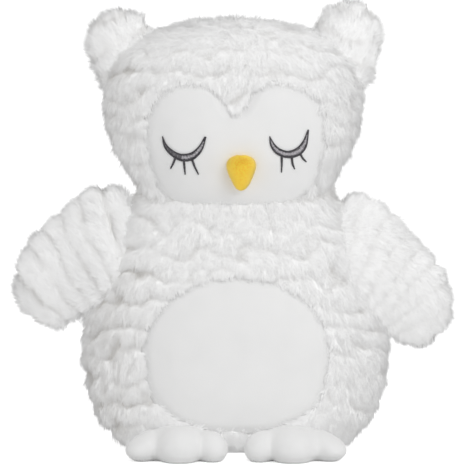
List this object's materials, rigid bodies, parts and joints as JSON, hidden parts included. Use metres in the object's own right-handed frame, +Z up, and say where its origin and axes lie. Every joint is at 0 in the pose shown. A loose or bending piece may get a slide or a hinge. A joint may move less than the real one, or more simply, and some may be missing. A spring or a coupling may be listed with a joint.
{
  "type": "plush owl",
  "caption": "Sitting plush owl of white ribbed plush with a heart-shaped face, closed eyes, yellow beak, wings and feet.",
  "frame": {"origin": "centre of the flat seat on the surface that the owl sits on", "axes": "+Z up, -Y the way that the owl faces, +X its own left"},
  "size_m": [0.2581, 0.1341, 0.2603],
  "materials": {
    "ribbed_plush": "long pile",
    "smooth_velour": "short pile",
    "yellow_velour": "short pile",
    "thread": "satin",
    "stuffing": "matte",
    "pellet_pouch": "matte"
  },
  "bodies": {
    "torso": {"body_front_plush": "ribbed_plush", "body_back_plush": "ribbed_plush", "belly_panel": "smooth_velour", "base_panel": "smooth_velour", "pellet_pouch": "pellet_pouch", "body_stuffing": "stuffing"},
    "neck": {"neck_stuffing": "stuffing"},
    "head": {"head_front_plush": "ribbed_plush", "head_back_plush": "ribbed_plush", "face_panel": "smooth_velour", "head_stuffing": "stuffing", "left_eye_embroidery": "thread", "right_eye_embroidery": "thread", "beak_cover": "yellow_velour", "beak_stuffing": "stuffing"},
    "left_ear": {"left_ear_front_plush": "ribbed_plush", "left_ear_back_plush": "ribbed_plush", "left_ear_stuffing": "stuffing"},
    "right_ear": {"right_ear_front_plush": "ribbed_plush", "right_ear_back_plush": "ribbed_plush", "right_ear_stuffing": "stuffing"},
    "left_wing": {"left_wing_front_plush": "ribbed_plush", "left_wing_back_plush": "ribbed_plush", "left_wing_stuffing": "stuffing"},
    "right_wing": {"right_wing_front_plush": "ribbed_plush", "right_wing_back_plush": "ribbed_plush", "right_wing_stuffing": "stuffing"},
    "left_foot": {"left_foot_top_cover": "smooth_velour", "left_foot_sole": "smooth_velour", "left_foot_stuffing": "stuffing"},
    "right_foot": {"right_foot_top_cover": "smooth_velour", "right_foot_sole": "smooth_velour", "right_foot_stuffing": "stuffing"}
  },
  "joints": [
    {"name": "neck_turn", "type": "hinge", "parent": "torso", "child": "neck", "pos_m": [0, 0, 0.147], "axis": [0, 0, 1], "range_deg": [-20, 20], "stiffness_Nm_per_rad": 0.3},
    {"name": "head_nod", "type": "hinge", "parent": "neck", "child": "head", "pos_m": [0, 0, 0.147], "axis": [1, 0, 0], "range_deg": [-7, 7], "stiffness_Nm_per_rad": 0.5, "deforming": ["neck_stuffing"]},
    {"name": "left_ear_fold", "type": "hinge", "parent": "head", "child": "left_ear", "pos_m": [0.0675, 0, 0.238], "axis": [0.766, 0, -0.6428], "range_deg": [-15, 15], "stiffness_Nm_per_rad": 0.02},
    {"name": "right_ear_fold", "type": "hinge", "parent": "head", "child": "right_ear", "pos_m": [-0.0675, 0, 0.238], "axis": [0.766, 0, 0.6428], "range_deg": [-15, 15], "stiffness_Nm_per_rad": 0.02},
    {"name": "left_wing_swing", "type": "hinge", "parent": "torso", "child": "left_wing", "pos_m": [0.0775, 0, 0.117], "axis": [0.3746, 0, -0.9272], "range_deg": [-25, 25], "stiffness_Nm_per_rad": 0.05},
    {"name": "right_wing_swing", "type": "hinge", "parent": "torso", "child": "right_wing", "pos_m": [-0.0775, 0, 0.117], "axis": [0.3746, 0, 0.9272], "range_deg": [-25, 25], "stiffness_Nm_per_rad": 0.05},
    {"name": "left_foot_flex", "type": "hinge", "parent": "torso", "child": "left_foot", "pos_m": [0.0325, -0.042, 0.003], "axis": [-1, 0, 0], "range_deg": [-12, 12], "stiffness_Nm_per_rad": 0.05},
    {"name": "right_foot_flex", "type": "hinge", "parent": "torso", "child": "right_foot", "pos_m": [-0.0325, -0.042, 0.003], "axis": [-1, 0, 0], "range_deg": [-12, 12], "stiffness_Nm_per_rad": 0.05}
  ]
}
